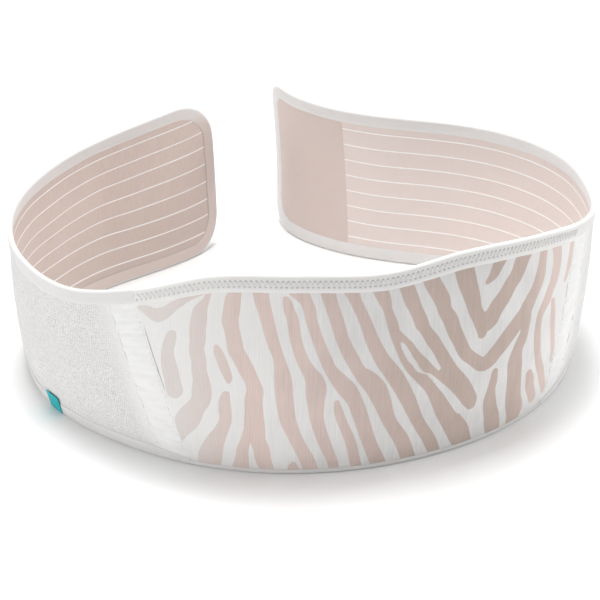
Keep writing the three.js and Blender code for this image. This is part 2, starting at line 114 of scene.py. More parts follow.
# Stripes of the zebra print, charted: millimetres along the belt, up the panel, and across
# the stripe.
STRIPES: dict[str, Table] = {
    "left loop": (
        (369, 143, 3.5), (373, 140, 6.1), (377, 137, 7.5), (381, 135, 10.1), (386, 136, 9),
        (391, 139, 7.5), (396, 141, 5.9), (401, 143, 4.7), (406, 144, 3.6), (411, 145, 2.1),
    ),
    "left pod": (
        (389, 119, 7.1), (388, 115, 8.4), (386, 108, 8.7), (386, 99, 9.6), (387, 88, 11.2),
        (388, 78, 11.0), (389, 67, 11.9), (388, 62, 8.0),
    ),
    "left long": (
        (414, 146, 3.8), (412, 140, 4.3), (408, 133, 9.2), (407, 126, 10.5), (406, 119, 10.5),
        (406, 112, 10.2), (405, 105, 9.7), (406, 96, 9.4), (406, 87, 9.4), (407, 78, 10.5),
        (407, 69, 12.8), (406, 60, 12.3), (402, 52, 12.5), (398, 44, 15.0), (395, 38, 14.6),
        (393, 31, 8.4), (391, 23, 3.2),
    ),
    "first": (
        (430, 145, 6.5), (428, 139, 9.6), (427, 131, 10.1), (426, 124, 10.1), (427, 117, 9.2),
        (428, 110, 9.5), (429, 102, 9.8), (432, 95, 9.9), (435, 87, 10.1), (438, 79, 9.3),
        (440, 71, 10.3), (439, 63, 11.0), (439, 53, 11.7), (439, 42, 13.1), (439, 35, 13.5),
    ),
    "first fork left": (
        (435, 37, 6.1), (433, 29, 6.3), (431, 21, 7.4), (430, 11, 9.2), (429, 3, 11.7),
    ),
    "first fork right": (
        (441, 37, 9.0), (441, 30, 10.0), (443, 22, 10.7), (444, 12, 10.3), (447, 1, 8.8),
    ),
    "left sliver": (
        (417, 106, 2.5), (418, 102, 5.3), (420, 95, 6.0), (422, 87, 6.2), (424, 80, 4.9),
        (424, 77, 2.8),
    ),
    "left low": (
        (422, 67, 4.8), (421, 61, 7.1), (421, 53, 8.1), (421, 45, 7.8), (418, 36, 8.9),
        (414, 27, 11.5), (411, 18, 14.2), (409, 10, 16.0), (408, 2, 15.0),
    ),
    "second": (
        (444, 147, 9.8), (445, 139, 9.2), (448, 125, 8.0), (451, 110, 7.6), (455, 95, 7.1),
        (457, 80, 10.7), (458, 64, 10.9), (460, 47, 10.1), (465, 31, 8.6), (472, 13, 9.6),
        (475, 0, 9.5),
    ),
    "third": (
        (459, 140, 3.6), (460, 137, 5.7), (461, 132, 6.3), (463, 125, 6.9), (465, 110, 6.9),
        (469, 95, 7.6), (473, 86, 9.0), (476, 80, 11.0), (477, 74, 12.6), (477, 69, 12.6),
        (477, 63, 11.0), (478, 47, 8.6), (482, 30, 7.9), (488, 11, 6.9), (490, 0, 6.5),
    ),
    "third drop": (
        (463, 10, 3.4), (463, 6, 6.7), (464, 0, 8.0),
    ),
    "fourth": (
        (464, 148, 10.6), (468, 143, 9.6), (471, 138, 7.4), (473, 132, 7.5), (474, 125, 6.9),
        (478, 110, 6.9), (483, 95, 7.6), (486, 87, 8.0), (491, 79, 10.5), (496, 71, 12.0),
        (501, 61, 10.0), (506, 44, 9.6), (511, 26, 9.1), (518, 6, 10.1), (521, -2, 10.0),
    ),
    "fourth pod": (
        (490, 61, 3.2), (491, 54, 5.4), (493, 46, 6.0), (499, 28, 6.7), (503, 9, 7.0),
        (506, -2, 6.5),
    ),
    "fifth": (
        (483, 148, 10.0), (485, 139, 8.4), (489, 125, 8.4), (493, 110, 8.2), (499, 95, 8.9),
        (503, 86, 8.8), (509, 78, 12.4), (514, 70, 13.1), (518, 59, 11.9), (524, 40, 9.0),
        (533, 22, 10.1), (541, -1, 9.6),
    ),
    "sixth": (
        (497, 147, 9.6), (500, 139, 7.4), (506, 124, 7.4), (511, 109, 8.5), (518, 92, 9.7),
        (523, 83, 10.5), (528, 73, 10.7), (536, 54, 9.9), (543, 36, 8.3), (553, 16, 8.8),
        (560, -1, 8.4),
    ),
    "seventh": (
        (515, 145, 9.3), (518, 137, 7.9), (520, 130, 5.6), (523, 120, 6.5), (525, 112, 6.3),
        (526, 106, 4.9), (528, 98, 3.6), (532, 89, 5.4), (537, 80, 6.8), (544, 70, 7.6),
        (550, 61, 7.5), (556, 50, 9.8), (562, 39, 13.5), (567, 29, 14.0), (573, 18, 15.5),
        (577, 9, 14.5), (581, -1, 13.6),
    ),
    "seventh branch": (
        (523, 118, 3.0), (526, 113, 3.5), (531, 105, 5.0), (536, 98, 6.3), (541, 89, 6.6),
        (545, 82, 7.0), (551, 74, 7.8), (558, 66, 9.2), (564, 58, 10.5), (570, 50, 11.0),
        (575, 43, 9.6),
    ),
    "eighth": (
        (531, 145, 8.6), (535, 133, 9.1), (538, 125, 7.9), (541, 117, 8.4), (544, 108, 8.3),
        (550, 98, 8.2), (555, 88, 8.1), (560, 78, 8.6), (564, 70, 9.4), (569, 62, 10.6),
        (573, 55, 11.4), (577, 47, 11.2), (580, 41, 10.3), (581, 37, 7.0),
    ),
    "ninth": (
        (546, 147, 10.2), (548, 141, 10.0), (555, 126, 9.9), (557, 118, 8.7), (561, 110, 9.4),
        (564, 101, 9.2), (568, 92, 8.7), (571, 85, 8.7), (574, 80, 8.8), (579, 75, 8.8),
        (583, 71, 9.4), (587, 69, 11.6), (591, 70, 12.8), (596, 75, 12.5), (602, 81, 13.3),
        (608, 88, 13.4), (614, 95, 13.0), (619, 102, 11.8), (623, 110, 10.5), (627, 117, 9.5),
        (630, 126, 9.5), (631, 135, 7.8), (632, 146, 6.8),
    ),
    "tenth": (
        (568, 148, 13.2), (571, 136, 12.7), (576, 120, 10.8), (578, 112, 9.6), (581, 106, 9.8),
        (584, 101, 11.1), (588, 102, 14.4), (591, 106, 13.0), (595, 112, 12.6), (600, 118, 11.8),
        (604, 125, 11.4), (609, 132, 11.5), (612, 140, 12.1), (616, 149, 13.1),
    ),
    "tenth tip": (
        (583, 102, 10.8), (584, 98, 9.3), (584, 93, 6.3),
    ),
    "inner stroke": (
        (596, 148, 11.3), (593, 141, 8.4), (590, 135, 7.0), (586, 131, 3.8),
    ),
    "low right": (
        (597, 59, 5.1), (597, 51, 6.9), (596, 43, 7.6), (596, 35, 10.4), (598, 25, 11.3),
        (601, 15, 12.9), (604, 5, 11.6), (605, -2, 8.1),
    ),
    "right drop": (
        (619, 106, 8.7), (621, 97, 7.2), (620, 85, 7.8), (618, 77, 9.7), (615, 69, 10.2),
        (614, 61, 12.6), (615, 52, 12.9), (616, 43, 12.8), (618, 25, 14.2), (622, 12, 14.2),
        (622, 3, 12.4),
    ),
    "far long": (
        (645, 146, 9.7), (647, 133, 9.4), (645, 119, 8.8), (642, 112, 8.1), (639, 105, 8.3),
        (635, 97, 7.5), (633, 89, 6.3), (634, 69, 6.5), (638, 49, 6.7), (643, 37, 6.8),
        (647, 26, 6.2), (652, 15, 5.2),
    ),
    "far edge": (
        (664, 145, 5.3), (663, 130, 6.2), (659, 116, 3.6),
    ),
    "far sliver": (
        (646, 103, 4.5), (648, 87, 5.4), (650, 71, 5.3), (652, 59, 5.0), (654, 48, 4.3),
        (654, 39, 2.6),
    ),
    "far pod": (
        (630, 42, 5.7), (632, 35, 8.2), (633, 29, 8.3), (639, 15, 7.0),
    ),
}

# Bare strokes between stripes that run close together, charted in the same way.
BARE: dict[str, Table] = {
    "sliver": (
        (529, 104, 1.2), (531, 100, 3.0), (533, 95, 3.6), (536, 88, 3.6), (539, 83, 3.0),
        (541, 78, 2.2), (544, 75, 1.4), (549, 72, 1.5), (553, 67, 2.2), (557, 61, 3.7),
        (562, 54, 5.0), (567, 46, 6.0), (573, 36, 6.4),
    ),
    "wedge": (
        (535, 110, 7.5), (539, 104, 6.9), (544, 94, 6.1), (549, 86, 5.0), (552, 80, 3.3),
        (555, 74, 1.5),
    ),
}


def along(table: Table, column: int, share: np.ndarray) -> np.ndarray:
    """Smooth values of one column of a table.

    Args:
        table: Rows placed by their first column.
        column: Index of the column to read.
        share: Places to read it at.

    Returns:
        The column's value at each place.
    """
    rows = np.array(table, float)
    at, value = rows[:, 0], rows[:, column]
    last = len(at) - 1
    row = np.clip(np.searchsorted(at, share) - 1, 0, last - 1)
    before, after = (np.clip(np.arange(last + 1) + step, 0, last) for step in (-1, 1))
    slope = (value[after] - value[before]) / (at[after] - at[before])
    width = at[row + 1] - at[row]
    t = np.clip((share - at[row]) / width, 0, 1)
    ends = (1 + 2 * t) * (1 - t) ** 2 * value[row] + t * t * (3 - 2 * t) * value[row + 1]
    pulls = t * (1 - t) ** 2 * slope[row] + t * t * (t - 1) * slope[row + 1]
    return ends + width * pulls


@dataclass(frozen=True)
class BeltForm:
    """Shape of the standing cloth, in millimetres.

    The cloth looks thinner than its solids, whose walls are printable, so depths are drawn in.
    Flat cloth is measured by s from the left tip, y from the bottom edge, and the depth through the
    cloth from the middle of the wall towards the wearer. Each mesh keeps these three as its "flat"
    attribute. The panel also keeps "print": the distance from the print and from its left seam. A
    tape keeps "fold": the distance from its fold, the way along it and the depth.
    """

    wing_length: float = 360.0
    strip_length: float = 20.0
    panel_length: float = 280.0
    patch_length: float = 76.0
    seam_slant: float = 25.0
    seam_skew: float = 7.0
    patch_slant: float = 8.0
    panel_height: float = 156.0
    wing_height: float = 124.0
    tip_radius: float = 28.0
    rib_count: int = 8
    rib_margin: float = 15.7
    elastic: float = 1.4
    lining: float = 1.0
    gap: float = 0.35
    tape: float = 0.8
    lean_out: float = 4.0
    bulge: float = 2.4
    hem_tuck: float = 2.2
    hem_tuck_height: float = 20.0
    buckle: float = 1.6
    thinner: float = 0.7
    origin: tuple[float, float] = (-69.5794, 124.6415)

    @property
    def length(self) -> float:
        """Length of the whole belt."""
        return 2 * self.wing_length + 2 * self.strip_length + self.panel_length

    @property
    def half_wall(self) -> float:
        """Half the thickness of the wall's two layers."""
        return (self.elastic + self.gap + self.lining) / 2

    @property
    def rib_pitch(self) -> float:
        """Distance between the lining's ribs."""
        return (self.wing_height - 2 * self.rib_margin) / (self.rib_count - 1)

    @property
    def inset(self) -> float:
        """How far the cloth's edge lies inside the folded tape."""
        return self.tape + self.gap

    @cached_property
    def plan(self) -> np.ndarray:
        """Plan curve of the wall's middle.

        Returns:
            Its points in millimetres, evenly spaced from tip to tip.
        """
        steps = round(2 * self.length)
        angle = np.radians(along(HEADINGS, 1, (np.arange(steps) + 0.5) / steps))
        stride = np.stack([np.cos(angle), np.sin(angle)], 1) * self.length / steps
        return np.concatenate([np.zeros((1, 2)), np.cumsum(stride, 0)])

    def height(self, share: np.ndarray) -> np.ndarray:
        """Height of the cloth at shares of the belt's length."""
        return self.wing_height + (self.panel_height - self.wing_height) * along(SECTIONS, 1, share)

    def standing(self, share: np.ndarray, y: np.ndarray, nominal: float) -> np.ndarray:
        """Height above the floor of flat heights y: only the middle third is stretched."""
        stretch = np.clip((y / nominal - 1 / 3) * 3, 0, 1)
        return y + (self.height(share) - nominal) * stretch

    def place(self, s: np.ndarray, y: np.ndarray, depth: np.ndarray, nominal: float) -> np.ndarray:
        """Stands flat cloth up on the plan curve.

        Args:
            s: Places along the cloth.
            y: Heights in the flat cloth.
            depth: Depths through the cloth, towards the wearer.
            nominal: Height of the flat cloth.

        Returns:
            Points in metres, with one more axis than the arguments.
        """
        s, y, depth = np.broadcast_arrays(np.asarray(s, float), y, depth)
        share = np.clip(s / self.length, 0, 1)
        beyond = s - share * self.length
        z = self.standing(share, y, nominal)
        rise = np.clip(z / self.height(share), 0, 1)
        out = self.lean_out * along(SECTIONS, 2, share) * rise + self.bulge * np.sin(np.pi * rise)
        out = out - self.hem_tuck * np.clip(1 - z / self.hem_tuck_height, 0, 1)
        fold = sum(d * np.exp(-(((share - at) / spread) ** 2)) for at, spread, d in BUCKLES)
        out = out + self.buckle * fold * np.clip(3 * np.minimum(rise, 1 - rise), 0, 1)
        out = out - self.thinner * depth
        angle = np.radians(along(HEADINGS, 1, share))
        even = np.linspace(0, 1, len(self.plan))
        x = np.interp(share, even, self.plan[:, 0]) + beyond * np.cos(angle) + out * np.sin(angle)
        y = np.interp(share, even, self.plan[:, 1]) + beyond * np.sin(angle) - out * np.cos(angle)
        x, y = x + self.origin[0], y + self.origin[1]
        return np.stack([x, y, z], -1) * MM

    def seam(self, side: Side, start: float, y: np.ndarray, nominal: float) -> np.ndarray:
        """Distance from the near tip to a slanted seam.

        Args:
            side: Wing that the seam belongs to.
            start: Distance at mid height.
            y: Flat heights.
            nominal: Height of the flat cloth.

        Returns:
            The distance at each height.
        """
        share = np.array((start if side is Side.LEFT else self.length - start) / self.length)
        rise = self.standing(share, y, nominal) / self.height(share)
        slant = self.seam_slant + (self.seam_skew if side is Side.LEFT else -self.seam_skew)
        return start + slant * (0.5 - rise)

    @property
    def corner_zone(self) -> float:
        """Distance from the tip to the end of the zone that holds its corners."""
        return self.wing_height / 3

    def corner_radius(self, side: Side, edge: Edge) -> float:
        """Radius of one corner of a tip, at the tape's fold."""
        return CORNERS[side, edge] * self.tip_radius

    def rounded_end(self, side: Side, y: np.ndarray) -> np.ndarray:
        """Distance from the tip to the rounded end of the cloth inside the tape.

        Args:
            side: The wing.
            y: Flat heights.

        Returns:
            The distance at each height.
        """
        low, high = (self.corner_radius(side, edge) - self.inset for edge in (Edge.BOTTOM, Edge.TOP))
        radius = np.where(y < self.wing_height / 2, low, high)
        reach = np.clip(radius + self.inset - np.minimum(y, self.wing_height - y), 0, radius)
        return self.inset + radius - np.sqrt(radius**2 - reach**2)

    def wing_distance(self, side: Side, zone: np.ndarray, y: np.ndarray) -> np.ndarray:
        """Distance from the near tip to a place on a wing.

        Args:
            side: The wing.
            zone: 0 at the tip, 1 behind its corners, 2 at the patch's seam, 3 at the join strip, 4 at
                the panel.
            y: Flat heights.

        Returns:
            The distance at each place.
        """
        edge = self.wing_length
        slant = self.patch_slant if side is Side.RIGHT else 0.0
        bounds = (
            self.rounded_end(side, y),
            self.corner_zone + 0 * y,
            self.patch_length + slant * (0.5 - y / self.wing_height),
            self.seam(side, edge, y, self.wing_height),
            self.seam(side, edge + self.strip_length, y, self.wing_height),
        )
        distance = np.zeros(np.broadcast(zone, y).shape)
        for i in range(4):
            distance = distance + (bounds[i + 1] - bounds[i]) * np.clip(zone - i, 0, 1)
        return bounds[0] + distance

    def from_tip(self, side: Side, distance: np.ndarray, y: np.ndarray) -> np.ndarray:
        """Place along the belt of distances from one tip.

        Args:
            side: The wing that the tip belongs to.
            distance: Distances from the tip.
            y: Flat heights.

        Returns:
            The place of each distance.
        """
        near = np.clip(1 - distance / self.patch_length, 0, 1)
        reach = along(TIP_REACH, 1 if side is Side.LEFT else 2, y / self.wing_height)
        flat = distance - near * reach
        return flat if side is Side.LEFT else self.length - flat

    def panel_place(self, share: np.ndarray, y: np.ndarray) -> np.ndarray:
        """Place along the belt of shares of the panel's length.

        Args:
            share: Shares of the length between the panel's seams.
            y: Heights in the flat panel.

        Returns:
            The place of each share.
        """
        edge = self.wing_length + self.strip_length
        left = self.seam(Side.LEFT, edge, y, self.panel_height)
        right = self.length - self.seam(Side.RIGHT, edge, y, self.panel_height)
        return left + (right - left) * share


FORM = BeltForm()


def ripple(s: np.ndarray, y: np.ndarray, pitch: float, seed: float) -> np.ndarray:
    """Smooth uneven relief.

    Args:
        s: Places along the cloth in millimetres.
        y: Heights in millimetres.
        pitch: Typical distance between crests.
        seed: Any number, for another pattern.

    Returns:
        Heights of about -1 to 1.
    """
    total = np.zeros(np.broadcast(s, y).shape)
    for i in range(6):
        turn = seed * 1.7 + i * 2.4
        step = 2 * math.pi / (pitch * (0.7 + 0.17 * i))
        total = total + np.sin(step * (s * math.cos(turn) + y * math.sin(turn)) + seed * (i + 1) * 3.1)
    return total / 3


def mesh_object(name: str, points: np.ndarray, quads: np.ndarray, marks: dict) -> bpy.types.Object:
    """Makes one smooth mesh object.

    Args:
        name: Name of the object.
        points: Corners in metres, one row each.
        quads: Indices of each face's four corners.
        marks: Vectors to keep at each corner, by attribute name.

    Returns:
        The object, linked to the scene and facing outwards.
    """
    a, b, c, d = (points[quads[:, i]] for i in range(4))
    volume = (np.cross(a, b) * c).sum() + (np.cross(a, c) * d).sum()
    if volume < 0:
        quads = quads[:, ::-1]
    mesh = bpy.data.meshes.new(name)
    mesh.vertices.add(len(points))
    mesh.vertices.foreach_set("co", points.astype(np.float32).ravel())
    mesh.loops.add(quads.size)
    mesh.loops.foreach_set("vertex_index", quads.astype(np.int32).ravel())
    mesh.polygons.add(len(quads))
    mesh.polygons.foreach_set("loop_start", np.arange(0, quads.size, 4, dtype=np.int32))
    mesh.polygons.foreach_set("use_smooth", np.ones(len(quads), bool))
    mesh.update(calc_edges=True)
    mesh.validate()
    mesh.set_sharp_from_angle(angle=SHARP_EDGE)
    for key, values in marks.items():
        layer = mesh.attributes.new(key, "FLOAT_VECTOR", "POINT")
        layer.data.foreach_set("vector", values.astype(np.float32).ravel())
    made = bpy.data.objects.new(name, mesh)
    bpy.context.scene.collection.objects.link(made)
    return made


def grid_quads(columns: int, rows: int, wrap: bool = False) -> np.ndarray:
    """Faces of a grid of corners.

    Args:
        columns: Number of corners along the first axis.
        rows: Number of corners along the second axis.
        wrap: Whether the second axis closes on itself.

    Returns:
        Indices of each face's four corners.
    """
    index = np.arange(columns * rows).reshape(columns, rows)
    if wrap:
        index = np.concatenate([index, index[:, :1]], 1)
    low, high = index[:-1], index[1:]
    return np.stack([low[:, :-1], high[:, :-1], high[:, 1:], low[:, 1:]], -1).reshape(-1, 4)


def closed_slab(name: str, outer: np.ndarray, inner: np.ndarray, marks: dict) -> bpy.types.Object:
    """Makes a closed slab between two grids of points.

    Args:
        name: Name of the object.
        outer: Grid of points of one face.
        inner: The same grid on the other face.
        marks: Pairs of vector grids, one for each face, by attribute name.

    Returns:
        The slab's object.
    """
    columns, rows = outer.shape[:2]
    face = grid_quads(columns, rows)
    count = columns * rows
    index = np.arange(count).reshape(columns, rows)
    rim = np.concatenate([index[:, 0], index[-1, 1:], index[-2::-1, -1], index[0, -2:0:-1]])
    after = np.roll(rim, -1)
    side = np.stack([after, rim, rim + count, after + count], 1)
    quads = np.concatenate([face, face[:, ::-1] + count, side])
    points = np.concatenate([outer.reshape(-1, 3), inner.reshape(-1, 3)])
    vectors = {key: np.concatenate([a.reshape(-1, 3), b.reshape(-1, 3)]) for key, (a, b) in marks.items()}
    return mesh_object(name, points, quads, vectors)


def cloth_layer(
    name: str, place: tuple, depths: tuple, nominal: float, marks: dict | None = None
) -> bpy.types.Object:
    """Makes one layer of cloth between two depths.

    Args:
        name: Name of the object.
        place: Places along the belt and heights in the flat cloth.
        depths: Depths of the outer and the inner face.
        nominal: Height of the flat cloth.
        marks: More pairs of vector grids to keep, by attribute name.

    Returns:
        The layer's object.
    """
    s, y, outer, inner = np.broadcast_arrays(*place, *depths)
    flat = tuple(np.stack([s, y, depth], -1) for depth in (outer, inner))
    faces = [FORM.place(s, y, depth, nominal) for depth in (outer, inner)]
    return closed_slab(name, *faces, {"flat": flat, **(marks or {})})


def thread_object(name: str, runs: list, radius: float, sides: int = 6) -> bpy.types.Object:
    """Makes threads of round section.

    Args:
        name: Name of the object.
        runs: Rows of points in metres, one array for each thread.
        radius: Radius of a thread in metres.
        sides: Sides of its section.

    Returns:
        One object with all the threads.
    """
    points, quads, start = [], [], 0
    turn = np.linspace(0, 2 * math.pi, sides, endpoint=False)
    for run in runs:
        ahead = np.gradient(run, axis=0)
        ahead /= np.linalg.norm(ahead, axis=1, keepdims=True)
        across = np.cross(ahead, THREAD_ASIDE)
        across /= np.linalg.norm(across, axis=1, keepdims=True)
        up = np.cross(across, ahead)
        taper = np.full(len(run), radius)
        taper[[0, -1]] = radius * 0.02
        ring = np.cos(turn)[None, :, None] * across[:, None] + np.sin(turn)[None, :, None] * up[:, None]
        points.append((run[:, None] + ring * taper[:, None, None]).reshape(-1, 3))
        quads.append(grid_quads(len(run), sides, wrap=True) + start)
        start += len(run) * sides
    corners = np.concatenate(points)
    return mesh_object(name, corners, np.concatenate(quads), {"flat": corners / MM})


@dataclass(frozen=True)
class Wire:
    """Output of a shader node that can stand in an expression."""

    shader: "Shader"
    socket: bpy.types.NodeSocket

    def _join(self, operation: str, first: object, second: object) -> "Wire":
        """Adds the node for one operation on two values, vectors or colours.

        Args:
            operation: Name of the operation.
            first: Wire, number, vector or colour.
            second: The same, on the other side.

        Returns:
            The node's result.
        """
        kinds = {one.socket.type for one in (first, second) if isinstance(one, Wire)}
        if "RGBA" in kinds:
            settings = {"data_type": "RGBA", "blend_type": operation}
            return self.shader.node("ShaderNodeMix", settings, {0: 1.0, 6: first, 7: second}, 2)
        if "VECTOR" in kinds:
            pair = [one if isinstance(one, (Wire, tuple)) else (one,) * 3 for one in (first, second)]
            settings = {"operation": operation}
            return self.shader.node("ShaderNodeVectorMath", settings, dict(enumerate(pair)))
        return self.shader.node("ShaderNodeMath", {"operation": operation}, {0: first, 1: second})

    def __add__(self, other: object) -> "Wire":
        """Sum."""
        return self._join("ADD", self, other)

    def __radd__(self, other: object) -> "Wire":
        """Sum."""
        return self._join("ADD", other, self)

    def __sub__(self, other: object) -> "Wire":
        """Difference."""
        return self._join("SUBTRACT", self, other)

    def __rsub__(self, other: object) -> "Wire":
        """Difference."""
        return self._join("SUBTRACT", other, self)

    def __mul__(self, other: object) -> "Wire":
        """Product."""
        return self._join("MULTIPLY", self, other)

    def __rmul__(self, other: object) -> "Wire":
        """Product."""
        return self._join("MULTIPLY", other, self)

    def by(self, operation: str, *others: object) -> "Wire":
        """Result of one Math node on this value and others."""
        values = dict(enumerate((self, *others)))
        return self.shader.node("ShaderNodeMath", {"operation": operation}, values)

    def cell(self, pitch: float) -> "Wire":
        """Signed distance from the nearest multiple of a pitch."""
        return self.by("WRAP", pitch / 2, -pitch / 2)

    def wave(self, pitch: float, shift: "Wire | None" = None) -> "Wire":
        """Sine wave of a pitch between -1 and 1, shifted by radians."""
        turn = self * (2 * math.pi / pitch)
        return (turn if shift is None else turn + shift).by("SINE")

    def crest(self, pitch: float, shift: "Wire | None" = None) -> "Wire":
        """Sine wave of a pitch between 0 and 1, shifted by radians."""
        return self.wave(pitch, shift) * 0.5 + 0.5

    def span(self, start: float, full: float, ebb: float, end: float) -> "Wire":
        """Share that rises from start to full and falls again from ebb to end."""
        return self.fade(start, full) - self.fade(ebb, end)

    def fade(self, start: float, end: float) -> "Wire":
        """Smooth step from 0 at start to 1 at end."""
        settings = {"interpolation_type": "SMOOTHSTEP", "clamp": True}
        return self.shader.node("ShaderNodeMapRange", settings, {0: self, 1: start, 2: end})


class Shader:
    """Builds the nodes of one procedural material."""

    def __init__(self, name: str) -> None:
        """Starts an empty material.

        Args:
            name: Name of the material.
        """
        self.material = bpy.data.materials.new(name)
        self.material.use_nodes = True
        self.tree = self.material.node_tree
        self.tree.nodes.clear()

    def node(
        self, kind: str, settings: dict | None = None, values: dict | None = None, output: int | str = 0
    ) -> Wire | None:
        """Adds one node.

        Args:
            kind: Type of the node.
            settings: Its properties, set first.
            values: Numbers, colours, vectors or wires for its sockets, by index or name.
            output: Output to hand back.

        Returns:
            The chosen output, or None where the node has none.
        """
        made = self.tree.nodes.new(kind)
        for key, value in (settings or {}).items():
            setattr(made, key, value)
        for key, value in (values or {}).items():
            if isinstance(value, Wire):
                self.tree.links.new(value.socket, made.inputs[key])
            else:
                socket = made.inputs[key]
                socket.default_value = (*value, 1.0) if socket.type == "RGBA" and len(value) == 3 else value
        return Wire(self, made.outputs[output]) if made.outputs else None

    def vector(self, name: str) -> Wire:
        """Vector kept at the corners of the mesh."""
        return self.node("ShaderNodeAttribute", {"attribute_name": name}, output="Vector")

    def parts(self, vector: Wire) -> tuple[Wire, Wire, Wire]:
        """Splits a vector.

        Args:
            vector: The vector.

        Returns:
            Its three numbers.
        """
        split = self.node("ShaderNodeSeparateXYZ", values={0: vector})
        outputs = split.socket.node.outputs
        return tuple(Wire(self, outputs[i]) for i in range(3))

    def cloth(self) -> tuple[Wire, Wire, Wire]:
        """Finds the flat place in the cloth.

        Returns:
            The place as a vector, then its parts along the belt and up.
        """
        flat = self.vector("flat")
        s, y, _ = self.parts(flat)
        return flat, s, y

    def noise(self, vector: Wire, scale: tuple[float, float, float], detail: float = 2.0) -> Wire:
        """Uneven value around 0.5.

        Args:
            vector: Place in the pattern.
            scale: Cells per millimetre along each axis.
            detail: Finer layers.

        Returns:
            The noise's value.
        """
        values = {"Vector": vector * scale, "Scale": 1.0, "Detail": detail}
        return self.node("ShaderNodeTexNoise", values=values)

    def mix(self, factor: object, first: object, second: object) -> Wire:
        """Blend of two colours: the first at 0, the second at 1."""
        return self.node("ShaderNodeMix", {"data_type": "RGBA"}, {0: factor, 6: first, 7: second}, 2)

    def bump(self, height: Wire, depth: float, strength: float, under: Wire | None = None) -> Wire:
        """Normal of a relief.

        Args:
            height: Height of the relief, 0 to 1.
            depth: Its depth in millimetres.
            strength: Share of it that is used.
            under: Normal of a coarser relief below it.

        Returns:
            The bent normal.
        """
        values = {"Height": height, "Distance": depth * MM, "Strength": strength}
        if under is not None:
            values["Normal"] = under
        return self.node("ShaderNodeBump", values=values, output="Normal")

    def surface(
        self, colour: object, roughness: object, normal: Wire | None, sheen: float, tint: Colour = WHITE
    ) -> bpy.types.Material:
        """Closes the material with one cloth surface.

        Args:
            colour: Base colour.
            roughness: Roughness.
            normal: Bent normal.
            sheen: Weight of the fibres' sheen.
            tint: Colour of the sheen.

        Returns:
            The finished material.
        """
        values = {
            "Base Color": colour,
            "Roughness": roughness,
            "Sheen Weight": sheen,
            "Sheen Roughness": 0.45,
            "Sheen Tint": tint,
            "Specular IOR Level": 0.25,
        }
        if normal is not None:
            values["Normal"] = normal
        shaded = self.node("ShaderNodeBsdfPrincipled", values=values)
        self.node("ShaderNodeOutputMaterial", values={"Surface": shaded})
        return self.material


@dataclass(frozen=True)
class PrintedJersey:
    """White knitted jersey with a pale pink zebra print on its outer face."""

    ground: Colour = (0.83, 0.82, 0.805)
    ink: Colour = (0.735, 0.60, 0.555)
    ink_left: Colour = (0.72, 0.67, 0.645)
    ink_right: Colour = (0.60, 0.485, 0.43)
    # Colour and rows of painted shade along a crease beside the left seam.
    crease_shade: Colour = (0.36, 0.35, 0.34)
    crease_shade_rows: Span = (60, 72, 120, 132)
    left_end: tuple[float, float] = (385, 440)
    right_zone: Span = (460, 580, 610, 650)
    # Span along the belt where painted shade darkens the panel.
    shade_zone: Span = (400, 520, 610, 670)
    wale: float = 0.95
    course: float = 0.8

    def material(self) -> bpy.types.Material:
        """Builds the jersey: knit columns, faint upright streaks and a soft printed edge.

        Returns:
            The finished material.
        """
        sh = Shader("printed jersey")
        flat, s, y = sh.cloth()
        from_print, from_seam, _ = sh.parts(sh.vector("print"))
        streak = sh.noise(flat, (1.1, 0.05, 1.0), 3.0)
        grain = sh.noise(flat, (2.2, 1.3, 2.0), 4.0)
        cloud = sh.noise(flat, (0.05, 0.03, 0.05), 2.0)
        bare = (from_print + (grain - 0.5) * 0.7).fade(-0.3, 0.3)
        tone = 0.94 + (streak - 0.5) * 0.20 + (grain - 0.5) * 0.10 + cloud * 0.2
        # Painted shade: the jersey is darkened in a band across the middle of the panel.
        tone = tone - s.span(*self.shade_zone) * 0.13
        ink = sh.mix(s.fade(*self.left_end), self.ink_left, self.ink)
        ink = sh.mix(s.span(*self.right_zone), ink, self.ink_right)
        colour = sh.mix(bare, ink, self.ground) * sh.mix(tone, BLACK, WHITE)
        # Painted shade of a crease beside the left seam, between the given rows; the mesh has no crease
        # there.
        crease_shade = (1.0 - from_seam.fade(0.2, 1.1)) * y.span(*self.crease_shade_rows)
        colour = sh.mix(crease_shade * 0.8, colour, self.crease_shade)
        column = s.wave(self.wale)
        row = y.wave(self.course, column * 1.2)
        knit = sh.bump(column * 0.3 + row * 0.2 + grain * 0.8, 0.25, 0.55)
        normal = sh.bump(streak, 0.5, 0.35, knit)
        return sh.surface(colour, 0.82 + (grain - 0.5) * 0.2, normal, 0.18, (1.0, 0.97, 0.95))


@dataclass(frozen=True)
class WovenElastic:
    """White elastic with short upright loops in fine uneven rows."""

    ground: Colour = (0.86, 0.85, 0.84)
    shadow: Colour = (0.56, 0.55, 0.54)
    loop: float = 1.5
    course: float = 2.2
    left_slant: float = 0.258
    left_end: tuple[float, float] = (352, 376)
    right_slant: float = 0.145
    right_end: tuple[float, float] = (671, 695)

    def material(self) -> bpy.types.Material:
        """Builds the elastic: rows of loops, lighter on their crests and plain beside the strips.

        Returns:
            The finished material.
        """
        sh = Shader("woven elastic")
        flat, s, y = sh.cloth()
        wobble = sh.noise(flat, (0.5, 0.5, 0.5), 2.0)
        loops = sh.noise(flat, (1.5, 0.75, 1.0), 4.0)
        fine = sh.noise(flat, (3.6, 2.2, 2.0), 2.0)
        row = s.crest(self.loop, wobble * 5.0)
        course = y.crest(self.course, wobble * 4.0)
        height = row * 0.22 + course * 0.08 + loops * 1.1 + fine * 0.5
        left = (s + y * self.left_slant).fade(*self.left_end) * (1.0 - s.fade(400, 500))
        right = (1.0 - (s - y * self.right_slant).fade(*self.right_end)) * s.fade(500, 600)
        crest = height.fade(0.55, 1.15).by("MAXIMUM", left.by("MAXIMUM", right))
        colour = sh.mix(crest, self.shadow, self.ground)
        normal = sh.bump(height, 0.6, 0.85)
        return sh.surface(colour, 0.92, normal, 0.25)


